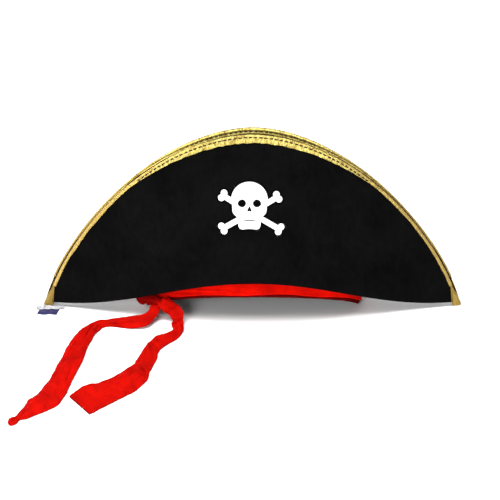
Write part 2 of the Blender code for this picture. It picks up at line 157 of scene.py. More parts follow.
# creases in their upper sides: start, end, depth of the valley, height of the lip beside it
LONG_FOLDS = (
    ((-174, -65), (-182, -107), 1.4, 1.7), ((-168, -65), (-172, -95), 1.2, -1.5),
    ((-166, -57), (-116, -53), 1.0, 1.3), ((-150, -46), (-118, -49), 0.8, 0.6),
    ((-186, -89), (-196, -143), 0.6, 0.9), ((-196, -143), (-205, -189), 0.5, 0.7),
    ((-188, -163), (-191, -193), 0.6, 0.4), ((-186, -209), (-196, -217), 0.7, 0.4),
    ((-215, -209), (-204, -229), 0.6, 0.4), ((-222, -231), (-229, -269), 0.8, 0.9),
    ((-178, -109), (-190, -121), 0.5, 0.3), ((-176, -131), (-186, -141), 0.5, 0.3)
)
SHORT_FOLDS = (
    ((-90, -62), (-72, -55), 2.0, 1.7), ((-88, -76), (-76, -65), 1.6, -1.3),
    ((-100, -49), (-80, -57), 1.6, 0.9), ((-82, -75), (-98, -97), 0.8, 0.9),
    ((-107, -100), (-96, -123), 1.2, 1.1), ((-113, -105), (-112, -133), 0.6, 0.8),
    ((-124, -149), (-107, -179), 2.2, 1.9), ((-118, -187), (-106, -171), 1.6, -1.5),
    ((-122, -159), (-126, -181), 1.0, 0.6), ((-160, -237), (-128, -209), 1.0, 0.5),
    ((-168, -213), (-182, -235), 0.6, 0.4), ((-140, -183), (-158, -203), 0.5, 0.4)
)

# ---- labels: left and right ends, and the roll near the white one's left end
CARE_ENDS = (-0.2400, -0.2090)
CARE_ROLL = {"at": -0.2325, "half": 2.6 * MM, "height": 4.2 * MM}
SIZE_ENDS = (-0.2370, -0.2150)

# ---- print: its centre on the panel in metres, half a bone's width and a knob's radius in mm
EMBLEM_CENTRE = (-0.0034, 0.1260)
BONE_HALF = 2.9
KNOB = 3.6


# ======== numbers

def unit(v):
    return v / np.linalg.norm(v, axis=-1, keepdims=True)


def dot(a, b):
    return np.sum(a * b, axis=-1, keepdims=True)


def smoothstep(low, high, value):
    t = np.clip((value - low) / (high - low), 0.0, 1.0)
    return t * t * (3.0 - 2.0 * t)


def hump(value, centre, half):
    """Bell curve of height 1, down to 1/e at a distance of half."""
    return np.exp(-((value - centre) / half) ** 2)


def upwards(v):
    """The same vectors, turned round where they point down."""
    return np.where(v[:, 2:3] < 0, -v, v)


def lattice(i, j, seed):
    value = np.sin(i * 127.1 + j * 311.7 + seed * 74.7) * 43758.5453
    return value - np.floor(value)


def soft_noise(u, v, seed=0):
    """Smooth value noise from -1 to 1 with a unit grid."""
    u, v = np.broadcast_arrays(np.asarray(u, float), np.asarray(v, float))
    i = np.floor(u)
    j = np.floor(v)
    a = smoothstep(0.0, 1.0, u - i)
    b = smoothstep(0.0, 1.0, v - j)
    low = lattice(i, j, seed) * (1 - a) + lattice(i + 1, j, seed) * a
    high = lattice(i, j + 1, seed) * (1 - a) + lattice(i + 1, j + 1, seed) * a
    return 2.0 * (low * (1 - b) + high * b) - 1.0


def rough_noise(u, v, seed=0, octaves=3):
    total = 0.0
    for k in range(octaves):
        total = total + soft_noise(u * 2 ** k, v * 2 ** k, seed + 7 * k) * 0.5 ** k
    return total


def layered_noise(seed, *layers):
    """Sum of soft noises, each layer given as (height, u, v)."""
    return sum(height * soft_noise(u, v, seed + k) for k, (height, u, v) in enumerate(layers))


def arc_lengths(points):
    steps = np.linalg.norm(np.diff(points, axis=0), axis=1)
    return np.concatenate(([0.0], np.cumsum(steps)))


def even_samples(points, count):
    """The same polyline at evenly spaced points."""
    along = arc_lengths(points)
    wanted = np.linspace(0.0, along[-1], count)
    return np.stack([np.interp(wanted, along, points[:, k]) for k in range(points.shape[1])], axis=1)


# ======== meshes

def add_to_scene(name, data, spot=(0.0, 0.0, 0.0), aim=None):
    """New object in the scene, turned to look at aim where that is given."""
    obj = bpy.data.objects.new(name, data)
    obj.location = spot
    if aim:
        obj.rotation_mode = "QUATERNION"
        obj.rotation_quaternion = (Vector(aim) - Vector(spot)).to_track_quat("-Z", "Y")
    bpy.context.scene.collection.objects.link(obj)
    return obj


def make_object(name, verts, faces, mat, uvs=None, sharp=40.0):
    mesh = bpy.data.meshes.new(name)
    mesh.from_pydata([tuple(v) for v in verts], [], faces)
    if uvs is not None:
        layer = mesh.uv_layers.new(name="UVMap")
        layer.data.foreach_set("uv", np.asarray(uvs, np.float32).ravel())
    mesh.shade_smooth()
    mesh.set_sharp_from_angle(angle=math.radians(sharp))
    mesh.materials.append(mat)
    return add_to_scene(name, mesh)


def ring_quads(rows, columns, closed=False):
    """Quads between neighbouring rows of points, where each row is a ring."""
    quads = []
    for i in range(rows if closed else rows - 1):
        a = i * columns
        b = (i + 1) % rows * columns
        quads += [(a + j, a + k, b + k, b + j) for j in range(columns) for k in [(j + 1) % columns]]
    return quads


def shell(name, outer, inner, mat, ring=False, sharp=40.0):
    """Closed shell between two grids of points (stations, points, 3), with UVs in metres, and the
    area of its outer side."""
    rows, half, _ = outer.shape
    count = 2 * half
    grid = np.concatenate([outer, inner[:, ::-1]], axis=1)
    along = arc_lengths(outer[:, half // 2])
    steps = np.linalg.norm(np.diff(outer, axis=1), axis=2).mean(axis=0)
    across = np.concatenate(([0.0], np.cumsum(steps)))
    v_of = np.concatenate([across, across[::-1]])
    faces = ring_quads(rows, count, ring)
    u_of = list(along)
    if ring:
        u_of.append(along[-1] + np.linalg.norm(outer[0, half // 2] - outer[-1, half // 2]))
    uvs = []
    for a, b in zip(u_of, u_of[1:]):
        for v, w in zip(v_of, np.roll(v_of, -1)):
            uvs += [(a, v), (a, w), (b, w), (b, v)]
    if not ring:
        for i, flip in ((0, False), (rows - 1, True)):
            for j in range(half - 1):
                quad = [j, j + 1, count - 2 - j, count - 1 - j]
                quad = quad if flip else quad[::-1]
                faces.append(tuple(i * count + q for q in quad))
                uvs += [(along[i], v_of[q]) for q in quad]
    obj = make_object(name, grid.reshape(-1, 3), faces, mat, uvs, sharp)
    return face_outwards(obj), grid_area(outer)


def face_outwards(obj):
    """Closed meshes get normals that point out."""
    bm = bmesh.new()
    bm.from_mesh(obj.data)
    bmesh.ops.recalc_face_normals(bm, faces=bm.faces[:])
    if bm.calc_volume(signed=True) < 0:
        bmesh.ops.reverse_faces(bm, faces=bm.faces[:])
    bm.to_mesh(obj.data)
    bm.free()
    return obj


def grid_area(points):
    """Area of a grid of points (stations, points, 3)."""
    a = points[1:, :-1] - points[:-1, :-1]
    b = points[:-1, 1:] - points[:-1, :-1]
    c = points[1:, :-1] - points[1:, 1:]
    d = points[:-1, 1:] - points[1:, 1:]
    first = np.linalg.norm(np.cross(a, b), axis=2).sum()
    return 0.5 * (first + np.linalg.norm(np.cross(c, d), axis=2).sum())


def capsules(name, centres, runs, radius, length, mat, flat=0.8):
    """Short rounded stitches, one for each centre and unit run."""
    sides = 8
    rings = ((-0.5, 0.35), (-0.42, 0.8), (-0.25, 1.0), (0.25, 1.0), (0.42, 0.8), (0.5, 0.35))
    verts = []
    faces = []
    for centre, run in zip(centres, runs):
        first = len(verts)
        helper = np.array((0.0, 1.0, 0.0)) if abs(run[1]) < 0.9 else np.array((1.0, 0.0, 0.0))
        side = unit(np.cross(run, helper))
        lift = np.cross(side, run)
        for f, r in rings:
            for k in range(sides):
                t = 2 * math.pi * k / sides
                spoke = side * math.cos(t) + lift * math.sin(t) * flat
                verts.append(centre + run * f * length + spoke * radius * r)
        for i in range(len(rings) - 1):
            for k in range(sides):
                n = (k + 1) % sides
                a = first + i * sides
                faces.append((a + k, a + sides + k, a + sides + n, a + n))
        faces.append(tuple(first + k for k in range(sides)))
        top = first + (len(rings) - 1) * sides
        faces.append(tuple(top + k for k in reversed(range(sides))))
    return face_outwards(make_object(name, verts, faces, mat, sharp=60.0))


# ======== materials

class Graph:
    """A Principled material and short ways to add nodes to it."""

    def __init__(self, name, roughness, metallic=0.0, specular=0.5):
        self.mat = bpy.data.materials.new(name)
        self.mat.use_nodes = True
        self.tree = self.mat.node_tree
        self.shader = self.tree.nodes["Principled BSDF"]
        self.set(self.shader, {"Roughness": roughness, "Metallic": metallic,
                               "Specular IOR Level": specular})

    def set(self, node, inputs):
        for key, value in inputs.items():
            if isinstance(value, bpy.types.NodeSocket):
                self.tree.links.new(value, node.inputs[key])
            else:
                node.inputs[key].default_value = value

    def add(self, kind, inputs=None, **settings):
        node = self.tree.nodes.new("ShaderNode" + kind)
        for key, value in settings.items():
            setattr(node, key, value)
        self.set(node, inputs or {})
        return node

    def coords(self, space="Object", scale=(1.0, 1.0, 1.0)):
        source = self.add("TexCoord").outputs[space]
        return self.add("Mapping", {"Vector": source, "Scale": scale}).outputs[0]

    def noise(self, coords, scale, detail=2.0, rough=0.55):
        inputs = {"Vector": coords, "Scale": scale, "Detail": detail, "Roughness": rough}
        return self.add("TexNoise", inputs).outputs["Fac"]

    def part(self, source, index, kind="SeparateXYZ"):
        return self.add(kind, {0: source}).outputs[index]

    def math(self, operation, a, b=0.5):
        return self.add("Math", {0: a, 1: b}, operation=operation).outputs[0]

    def ribs(self, along, pitch):
        return self.math("SINE", self.math("MULTIPLY", along, 2 * math.pi / pitch))

    def weighted(self, *pairs):
        """Sum of values, each times its weight."""
        total, *rest = [self.math("MULTIPLY", value, weight) for value, weight in pairs]
        for term in rest:
            total = self.math("ADD", total, term)
        return total

    def ramp(self, value, stops):
        node = self.add("ValToRGB", {"Fac": value})
        ramp = node.color_ramp
        while len(ramp.elements) < len(stops):
            ramp.elements.new(0.5)
        for element, (place, colour) in zip(ramp.elements, stops):
            element.position = place
            element.color = (*colour, 1.0)
        return node.outputs["Color"]

    def level(self, value, low, high, out_low=0.0, out_high=1.0):
        node = self.add("MapRange", {0: value, 1: low, 2: high, 3: out_low, 4: out_high})
        return node.outputs[0]

    def mix(self, factor, a, b):
        node = self.add("Mix", data_type="RGBA")
        ends = [s for s in node.inputs if s.type == "RGBA"]
        for socket, value in ((node.inputs[0], factor), (ends[0], a), (ends[1], b)):
            if isinstance(value, bpy.types.NodeSocket):
                self.tree.links.new(value, socket)
            else:
                socket.default_value = value if isinstance(value, float) else (*value, 1.0)
        return node.outputs[2]

    def bump(self, height, distance, strength=1.0, normal=None):
        inputs = {"Height": height, "Distance": distance, "Strength": strength}
        if normal is not None:
            inputs["Normal"] = normal
        return self.add("Bump", inputs).outputs[0]

    def finish(self, colour=None, normal=None, roughness=None, **fixed):
        given = {"Base Color": colour, "Normal": normal, "Roughness": roughness}
        self.set(self.shader, {k: v for k, v in given.items() if v is not None})
        self.set(self.shader, {k.replace("_", " "): v for k, v in fixed.items()})
        return self.mat


def velour(name, dark, light, seed):
    """Black cloth with a soft nap: mottled where it was brushed, with a few specks of lint."""
    g = Graph(name, 0.95, specular=0.02)
    coords = g.coords()
    shifted = g.add("VectorMath", {0: coords, 1: (seed, 0.0, 0.0)}, operation="ADD").outputs[0]
    broad = g.noise(shifted, 26.0, 3.0)
    brushed = g.noise(g.coords("Object", (1.0, 1.0, 0.45)), 210.0, 3.0, 0.6)
    colour = g.ramp(g.weighted((broad, 0.55), (brushed, 0.45)), ((0.36, dark), (0.66, light)))
    cells = g.add("TexVoronoi", {"Vector": shifted, "Scale": 62.0})
    speck = g.level(cells.outputs["Distance"], 0.028, 0.018)
    rare = g.level(g.part(cells.outputs["Color"], 0, "SeparateColor"), 0.86, 0.88)
    colour = g.mix(g.math("MULTIPLY", speck, rare), colour, (0.10, 0.10, 0.10))
    nap = g.noise(coords, 1900.0, 3.0, 0.7)
    pile = g.noise(coords, 420.0, 2.0, 0.6)
    normal = g.bump(nap, 0.00022, 0.7, g.bump(pile, 0.0005, 0.45))
    rough = g.level(brushed, 0.3, 0.7, 0.84, 0.98)
    return g.finish(colour, normal, rough, Sheen_Weight=0.001, Sheen_Roughness=0.5,
                    Sheen_Tint=(0.75, 0.76, 0.80, 1.0))


def woven(name, dark, light, pitch, sheen=0.1, by_uv=True, specular=0.3):
    """Plain weave: crossing threads of the given pitch, uneven dye and creases."""
    rough = 0.8
    g = Graph(name, rough, specular=specular)
    coords = g.coords("UV") if by_uv else g.coords()
    warp = g.ribs(g.part(coords, 0), pitch)
    weft = g.ribs(g.part(coords, 1 if by_uv else 2), pitch)
    weave = g.math("MULTIPLY_ADD", g.math("MULTIPLY", warp, weft), 0.5)
    broad = g.noise(coords, 45.0, 4.0)
    slub = g.noise(g.coords("UV", (0.12, 1.0, 1.0)) if by_uv else coords, 1300.0, 2.0)
    colour = g.ramp(g.weighted((broad, 0.65), (slub, 0.35)), ((0.34, dark), (0.64, light)))
    normal = g.bump(weave, pitch * 0.28, 0.6, g.bump(slub, 0.00012, 0.5))
    return g.finish(colour, normal, g.level(slub, 0.3, 0.7, rough - 0.08, rough + 0.08),
                    Sheen_Weight=sheen, Sheen_Roughness=0.4)


def lame(name, bright, deep, dark, tip_shade, rough=0.34):
    """Metallic ribbon: fine cross ribs with painted shade in their troughs, bright foil threads as painted
    glints, random darker patches as painted reflection, and painted shade that makes it duller towards the
    tips."""
    g = Graph(name, rough, metallic=0.78)
    coords = g.coords("UV")
    ribs = g.ribs(g.part(coords, 0), 0.62 * MM)
    threads = g.noise(g.coords("UV", (1.0, 0.22, 1.0)), 1500.0, 1.0)
    flecks = g.add("TexVoronoi", {"Vector": g.coords("UV", (1.0, 0.5, 1.0)), "Scale": 1300.0})
    tone = g.part(flecks.outputs["Color"], 0, "SeparateColor")
    patches = g.noise(coords, 120.0, 2.0, 0.5)
    # Random bright threads and flecks are painted glints; the darker patches are painted reflection.
    shade = g.weighted((tone, 0.22), (patches, 0.40), (threads, 0.38))
    colour = g.ramp(shade, ((0.34, dark), (0.46, deep), (0.66, bright)))
    from_middle = g.math("ABSOLUTE", g.part(g.coords(), 0))
    # Painted shade: the colour turns duller towards the tips.
    colour = g.mix(g.level(from_middle, 0.07, 0.17, 0.0, 0.85), colour, tip_shade)
    # Painted shade in the troughs of the ribs.
    colour = g.mix(g.level(ribs, -1.0, -0.55, 0.35, 1.0), dark, colour)
    crumple = g.noise(coords, 420.0, 2.0)
    normal = g.bump(ribs, 0.00010, 0.55, g.bump(crumple, 0.0005, 0.35, g.bump(tone, 0.0002, 0.3)))
    return g.finish(colour, normal, g.level(patches, 0.3, 0.7, rough - 0.08, rough + 0.16))


def thread(name, dark, light):
    g = Graph(name, 0.75, specular=0.3)
    coords = g.coords()
    fibre = g.noise(coords, 2600.0, 2.0)
    colour = g.ramp(g.noise(coords, 300.0), ((0.35, dark), (0.65, light)))
    return g.finish(colour, g.bump(fibre, 0.0001, 0.6), Sheen_Weight=0.1)


def satin(name, dark, light, specular):
    """Label tape: fine satin ribs one way, slight creases painted darker in their hollows as shade."""
    g = Graph(name, 0.42, specular=specular)
    coords = g.coords("UV")
    ribs = g.noise(g.coords("UV", (1.0, 0.06, 1.0)), 5200.0, 1.0)
    crease = g.noise(coords, 240.0, 3.0)
    # Darker where the creases dip: painted shade.
    colour = g.ramp(crease, ((0.30, dark), (0.62, light)))
    normal = g.bump(ribs, 0.00005, 0.5, g.bump(crease, 0.0004, 0.35))
    return g.finish(colour, normal, g.level(ribs, 0.3, 0.7, 0.34, 0.52), Sheen_Weight=0.08)


def film(name, tone, aged, rough=0.42, specular=0.4):
    """Heat-transfer print: smooth film with hairline cracks and the cloth's grain showing."""
    g = Graph(name, rough, specular=specular)
    coords = g.coords()
    crazed = g.add("TexVoronoi", {"Vector": coords, "Scale": 120.0}, feature="DISTANCE_TO_EDGE")
    hair = g.level(crazed.outputs["Distance"], 0.0, 0.018, 1.0, 0.0)
    where = g.level(g.noise(coords, 70.0, 3.0), 0.60, 0.68)
    crack = g.math("MULTIPLY", hair, where)
    surface = g.ramp(g.noise(coords, 160.0, 3.0), ((0.3, aged), (0.6, tone)))
    colour = g.mix(crack, surface, (0.10, 0.10, 0.10))
    grain = g.noise(coords, 1500.0, 2.0)
    normal = g.bump(grain, 0.00008, 0.35, g.bump(g.math("SUBTRACT", 1.0, crack), 0.0001, 0.5))
    return g.finish(colour, normal)


def foam_skin(name):
    g = Graph(name, 0.9, specular=0.2)
    cells = g.add("TexVoronoi", {"Vector": g.coords(), "Scale": 1100.0}).outputs["Distance"]
    colour = g.ramp(cells, ((0.1, (0.42, 0.42, 0.43)), (0.7, (0.24, 0.24, 0.25))))
    return g.finish(colour, g.bump(cells, 0.0003, 0.7))


# ======== brim panels

def bump(x, half, power):
    return np.clip(1.0 - (x / half) ** 2, 0.0, None) ** power


def bottom_line(x, side):
    rise = FRONT_RISE if side < 0 else BACK_RISE
    y = TIP_OUT + BELLY * bump(x, BOTTOM_HALF, 1.5)
    z = BOTTOM_LIFT + rise["height"] * bump(x, BOTTOM_HALF, rise["power"])
    return np.stack([x, side * y, z], axis=-1)


def edge_of(side):
    return FRONT_EDGE if side < 0 else BACK_EDGE


def edge_height(x, edge):
    inside = np.clip(1.0 - np.abs(x / edge["half"]) ** edge["bow"], 0.0, None)
    return edge["top"] * inside ** edge["round"]


def edge_reach(z, edge):
    return edge["half"] * (1.0 - (z / edge["top"]) ** (1 / edge["round"])) ** (1 / edge["bow"])


def top_line(x, side):
    y = TIP_OUT + TOP_SPREAD * bump(x, 0.200, 2.0)
    return np.stack([x, side * y, edge_height(x, edge_of(side))], axis=-1)


def panel_frame(x, side):
    """Bottom points, unit rulings, inward normals and ruling lengths at an array of x."""
    low = bottom_line(x, side)
    high = top_line(x, side)
    ahead = bottom_line(x + PROBE, side) + top_line(x + PROBE, side)
    behind = bottom_line(x - PROBE, side) + top_line(x - PROBE, side)
    ruling = unit(high - low)
    normal = unit(np.cross(ahead - behind, ruling))
    normal = np.where(normal[..., 1:2] * side > 0, -normal, normal)
    return low, ruling, normal, np.linalg.norm(high - low, axis=-1)


def relief(x, z, side):
    """How far the cloth stands in front of the smooth panel: long soft waves, fading at the ribbon."""
    down = edge_height(x, edge_of(side)) - z
    free = smoothstep(6 * MM, 34 * MM, down) * smoothstep(0.222, 0.195, np.abs(x))
    waves = layered_noise(3 if side < 0 else 11, (0.55, x / 0.060 + 0.3, z / 0.085),
                          (0.22, x / 0.021, z / 0.034),
                          (0.10, (x + 0.4 * z) / 0.0085, (z - 0.4 * x) / 0.020))
    return waves * free * MM


def on_panel(x, z, depth, side):
    low, ruling, normal, _ = panel_frame(x, side)
    rise = ((z - low[..., 2]) / ruling[..., 2])[..., None]
    point = low + ruling * rise
    return point + normal * (depth - relief(point[..., 0], point[..., 2], side))[..., None]


def squeezed(x, down):
    """Share of the layers' thickness left at a distance below the curved edge."""
    return 1.0 - SQUEEZE * smoothstep(0.05, 0.13, np.abs(x)) * smoothstep(10 * MM, 2 * MM, down)


def panel_grid(side, pairs, stations):
    """Grid over the panel; pairs are (depth, share of ruling, extra height) for each row."""
    x = -PANEL_END * np.cos(np.pi * np.linspace(0.0, 1.0, stations + 1))
    low, ruling, normal, length = panel_frame(x, side)
    rows = []
    for depth, share, extra in pairs:
        base = low + ruling * (length * share + extra)[:, None]
        base[:, 0] += np.sign(x) * END_SKEW * np.abs(x / PANEL_END) ** 20 * (1.0 - share)
        lift = relief(base[:, 0], base[:, 2], side)
        rows.append(base + normal * (depth * squeezed(x, length * (1.0 - share)) - lift)[:, None])
    return np.stack(rows, axis=1)


def panel_cloth(name, side, mat, stations=230, levels=64):
    """Outer cloth with its lip turned in under the bottom edge."""
    def rows(inset):
        low = inset - UNDER
        reach = CLOTH_BEND - inset
        out = [(LIP, 0.0, low), (LIP * 0.6, 0.0, low)]
        for k in range(6):
            t = math.pi / 2 * k / 5
            out.append((inset + reach * (1 - math.sin(t)), 0.0, low + reach * (1 - math.cos(t))))
        return out + [(inset, share, 0.0) for share in np.linspace(0.004, 1.0, levels)]

    return shell(name, *(panel_grid(side, rows(inset), stations) for inset in (0.0, CLOTH_T)), mat)


def panel_layer(name, side, depths, mat, stations=150, levels=40, pinch=0.0):
    """A layer inside the panel; pinch thins it towards the bound edge."""
    middle = sum(depths) / 2

    def rows(depth):
        for share in np.linspace(0.0, 1.0, levels):
            kept = 1.0 - pinch * smoothstep(0.93, 1.0, share)
            yield middle + (depth - middle) * kept, share, 0.0

    return shell(name, *(panel_grid(side, rows(depth), stations) for depth in depths), mat)


# ======== ribbon binding

class Binding:
    """The line a ribbon follows along one panel's curved edge."""

    def __init__(self, side, seed):
        self.side = side
        self.seed = seed
        fine = -PANEL_END * np.cos(np.pi * np.linspace(0.0, 1.0, 4001))
        self.x = even_samples(top_line(fine, side), RIBBON_STATIONS)[:, 0]
        self.top = top_line(self.x, side)
        self.along = arc_lengths(self.top)
        self.tangent = unit(top_line(self.x + PROBE, side) - top_line(self.x - PROBE, side))
        _, ruling, self.normal, _ = panel_frame(self.x, side)
        self.edge = unit(ruling - self.tangent * dot(ruling, self.tangent))
        low, high = (RIBBON_LEG_LOW, RIBBON_LEG) if side < 0 else (BACK_INNER_LOW, BACK_INNER)
        self.leg = low + (high - low) * bump(self.x, RIBBON_NARROW, 1.0)
        if side > 0:
            self.leg = RIBBON_WIDTH - self.leg
        self.back_leg = RIBBON_WIDTH - self.leg

    def lift(self, down, seed):
        """How far the ribbon puffs off the panel at a distance below the fold: it is held down
        along the stitches and bulges between them."""
        force = 0.65 + 0.35 * soft_noise(self.along / (1.4 * STITCH_PITCH), 0.5, seed)
        between = np.abs(np.sin(np.pi * self.along / STITCH_PITCH)) ** 0.8 * force
        near = hump(down, STITCH_DOWN, 2.0 * MM)
        groove = hump(down, STITCH_DOWN, 0.45 * MM) * (1.0 - 0.55 * between)
        crumple = rough_noise(self.along / (3.6 * MM), down / (4.0 * MM), seed + 3)
        return (0.10 + 0.42 * between * near + 0.13 * crumple - 0.26 * groove) * MM

    def on_leg(self, down, height, front):
        """Points at a distance below the fold and a height off the panel."""
        spot = self.top - self.edge * np.broadcast_to(down, self.x.shape)[:, None]
        depth = -height if front else LAYERS_T * squeezed(self.x, down) + height
        return on_panel(spot[:, 0], spot[:, 2], depth, self.side)

    def leg_row(self, share, offset, front):
        seed = self.seed if front else self.seed + 20
        wave = 1.0 + 0.07 * soft_noise(self.along / (4.5 * MM), 0.0, seed + 5)
        length = self.leg if front else self.back_leg
        aside = soft_noise(self.along / (13 * MM), 2.0, seed + 7)
        aside = smoothstep(0.09, 0.15, np.abs(self.x)) * aside
        down = length * share * (wave + HEM_WANDER / length * aside)
        flare = (0.22 + 0.16 * soft_noise(self.along / (6 * MM), 0.0, seed + 9)) * MM * share ** 4
        if self.side > 0 and not front:
            flare = flare + 1.2 * MM * bump(self.x, 0.190, 1.0) * smoothstep(0.3, 1.0, share)
        lift = np.maximum(self.lift(down, seed) + flare, -0.05 * MM)
        return self.on_leg(down, RIBBON_GAP + offset + lift, front)

    def fold_row(self, turn, offset):
        """Points round the fold: turn runs from 0 on the front leg to pi on the back leg."""
        share = turn / math.pi
        lift = self.lift(0.0, self.seed) * (1.0 - share) + self.lift(0.0, self.seed + 20) * share
        layers = LAYERS_T * squeezed(self.x, 0.0)
        half = layers / 2 + RIBBON_GAP + offset + lift
        rise = (RIBBON_GAP + 0.45 * MM + offset + lift) * math.sin(turn)
        depth = layers / 2 - half * math.cos(turn)
        return self.top + self.normal * depth[:, None] + self.edge * rise[:, None]

    def face(self, offset):
        """One face of the ribbon, from the front leg's edge over the fold to the back leg's."""
        shares = np.linspace(1.0, 0.0, 15)
        rows = [self.leg_row(share, offset, True) for share in shares]
        rows += [self.fold_row(turn, offset) for turn in np.linspace(0.0, math.pi, 11)[1:-1]]
        rows += [self.leg_row(share, offset, False) for share in shares[::-1]]
        return np.stack(rows, axis=1)


def ribbon(name, line, mat):
    return shell(name, line.face(RIBBON_T), line.face(0.0), mat)


def ribbon_stitches(name, line, mat):
    """Running stitch through both legs, close under the fold, on the middle stretch; its dark thread is
    partly real stitching and partly painted shade of the puckers along the seam.
    """
    centres = []
    runs = []
    for front in (True, False):
        row = line.on_leg(STITCH_DOWN, RIBBON_GAP + RIBBON_T + 0.06 * MM, front)
        for k in range(1, int(line.along[-1] / STITCH_PITCH)):
            i = int(np.argmin(np.abs(line.along - k * STITCH_PITCH)))
            if abs(line.x[i]) > STITCH_REACH:
                continue
            wobble = 0.3 * lattice(k, 3.0 if front else 5.0, 1.0) - 0.15
            centres.append(row[i])
            runs.append(unit(line.tangent[i] + line.edge[i] * wobble))
    return capsules(name, centres, runs, STITCH_R, STITCH_LENGTH, mat)


# half of the wrap's rounded section: share of the way from hem to nose, and mm out from the middle
WRAP_HALF = ((1.0, 0.15), (1.0, 1.1), (0.985, 2.1), (0.95, 2.9), (0.88, 3.8),
             (0.76, 4.6), (0.60, 5.2), (0.42, 5.55), (0.22, 5.75), (0.0, 5.8))


def tip_flap(name, hand, side, mat):
    """Ribbon end folded round a tip, from the nose to a hem beside the panel's end."""
    levels = 60
    top = WRAP_TOP[side]
    z = np.linspace(WRAP_BOTTOM, top, levels)
    nose = edge_reach(z, BACK_EDGE) + 0.5 * MM + 1.3 * MM * smoothstep(8 * MM, 0.0, z)
    if side < 0:
        upper = edge_reach(z, FRONT_EDGE) + 0.9 * MM
        nose = upper + (nose - upper) * smoothstep(22 * MM, 9 * MM, z)
    lean = END_SKEW * np.clip(1.0 - z / END_TOP, 0.0, 1.0)
    inner = PANEL_END + 0.6 * MM + lean
    width = np.maximum(nose - inner, 0.5 * MM)
    seed = 31 + 5 * hand + side
    soft = 0.0006 * np.sin(np.pi * z / top)

    def face(inset):
        rows = []
        for k, (share, out) in enumerate(WRAP_HALF):
            crease = 0.35 * soft_noise(z / (5.5 * MM) + share * 1.7, share * 3.0, seed)
            crease = crease + 0.16 * rough_noise(z / (2.1 * MM) - share, share * 5.0, seed + 2)
            give = crease * MM * min(1.0, k / 2.0) - soft * min(1.0, k / 4.0)
            x = inner + width * share - inset * smoothstep(0.6, 1.0, share)
            thinned = inset * (1.0 - smoothstep(0.8, 1.0, share) * (k < 3))
            y = np.maximum(out * MM + give - thinned, 0.12 * MM)
            rows.append(np.stack([hand * x, side * y, z], axis=-1))
        for lap, off in WRAP_LAPS:
            x = hand * (PANEL_END - lap * MM + lean)
            height = off * MM + 0.12 * MM * soft_noise(z / (4.0 * MM), lap, seed + 4)
            rows.append(on_panel(x, np.maximum(z, BOTTOM_LIFT * 0.4), -(height - inset), side))
        return np.stack(rows, axis=0)

    return shell(name, face(0.0), face(WRAP_T), mat)


# ======== crown and head opening

def rim_height(angle):
    s = np.maximum(-np.sin(angle), 0.0)
    soft = 0.05
    full = math.sqrt(1 + soft * soft) - soft
    return RIM_RISE * (np.sqrt(s * s + soft * soft) - soft) / full


def crown_arch(angle):
    return CROWN_SIDE + (CROWN_TOP - CROWN_SIDE) * np.abs(np.sin(angle)) ** 0.8


def crown_point(angle, height, inset):
    rim = rim_height(angle)
    arch = crown_arch(angle) - inset
    t = np.clip(np.maximum(height - CROWN_LIFT, 0.0) / (arch - rim - CROWN_LIFT), 0.0, 1.0)
    x = (OPEN_A - inset - CROWN_NARROW * t) * np.cos(angle)
    y = (OPEN_B - inset) * np.sin(angle) * (1 - t ** 1.3)
    return np.stack(np.broadcast_arrays(x, y, rim + height), axis=-1)


def crown_half(name, side, mat):
    """One half of the soft crown, gathered into the rim and slack above it."""
    angles = (side * np.pi * np.linspace(1.0, 0.0, 221))[:, None]
    share = np.linspace(0.0, 1.0, 46)[None, :]
    seed = 71 if side < 0 else 83

    def face(inset):
        span = crown_arch(angles) - inset - rim_height(angles) - CROWN_LIFT
        height = CROWN_LIFT + span * share
        free = smoothstep(24 * MM, 44 * MM, height) * (1.0 - smoothstep(0.86, 1.0, share))
        free = free * smoothstep(0.02, 0.25, np.abs(np.sin(angles)))
        folds = layered_noise(seed, (1.9, angles * 3.1 + 0.4 * share, share * 1.8),
                              (1.0, angles * 9.5 + share * 1.1, share * 2.6),
                              (0.35, angles * 24.0, share * 7.0))
        at_rim = (1.0 - smoothstep(0.0, 0.3, share)) * smoothstep(0.0, 0.05, share)
        pleats = 0.22 * np.sin(angles * 74.0) * at_rim
        depth = inset + (0.9 + folds) * MM * free + pleats * MM
        points = crown_point(angles, height, depth)
        points[..., 1] += side * 0.3 * MM
        return points

    return shell(name, face(0.0), face(CROWN_T), mat)


def ridge_seam(name, mat):
    """Narrow bound seam along the crown's ridge."""
    angles = np.linspace(0.03, math.pi - 0.03, 240)
    arch = crown_arch(angles)
    line = np.stack([(OPEN_A - CROWN_NARROW) * np.cos(angles), np.zeros_like(angles), arch], axis=-1)
    tangent = unit(np.gradient(line, axis=0))
    up = upwards(unit(np.cross(np.array((0.0, 1.0, 0.0)), tangent)))
    wave = 0.25 * MM * soft_noise(arc_lengths(line) / (5 * MM), 0.0, 9)[:, None]

    def face(radius):
        rows = []
        for t in np.linspace(-0.15 * math.pi, 1.15 * math.pi, 11):
            side = np.array((0.0, 1.0, 0.0)) * (1.05 * radius * math.cos(t))
            rows.append(line + side + up * (0.1 * MM + 1.25 * radius * math.sin(t) + wave))
        return np.stack(rows, axis=1)

    return shell(name, face(1.15 * MM), face(0.75 * MM), mat)


def wall_strip(name, angles, height, near, thick, mat):
    """Strip round the crown's wall, with the areas of its outer and inner sides."""
    inner = crown_point(angles, height, near + thick)
    return *shell(name, crown_point(angles, height, near), inner, mat), grid_area(inner)


def sweatband(name, mat):
    half = math.pi - ELASTIC_HALF - 0.008
    angles = (np.linspace(-half, half, 260) - math.pi / 2)[:, None]
    height = np.linspace(0.8 * MM, SWEAT_H, 14)[None, :]
    near = CROWN_T + SWEAT_GAP
    sway = 0.18 * soft_noise(angles * 7.0, height / (14 * MM), 91) * MM
    piping = 0.25 * MM * hump(height, SWEAT_H - 1.6 * MM, 0.9 * MM)
    obj, _, area = wall_strip(name, angles, height, near + sway, SWEAT_T + piping, mat)
    return obj, area


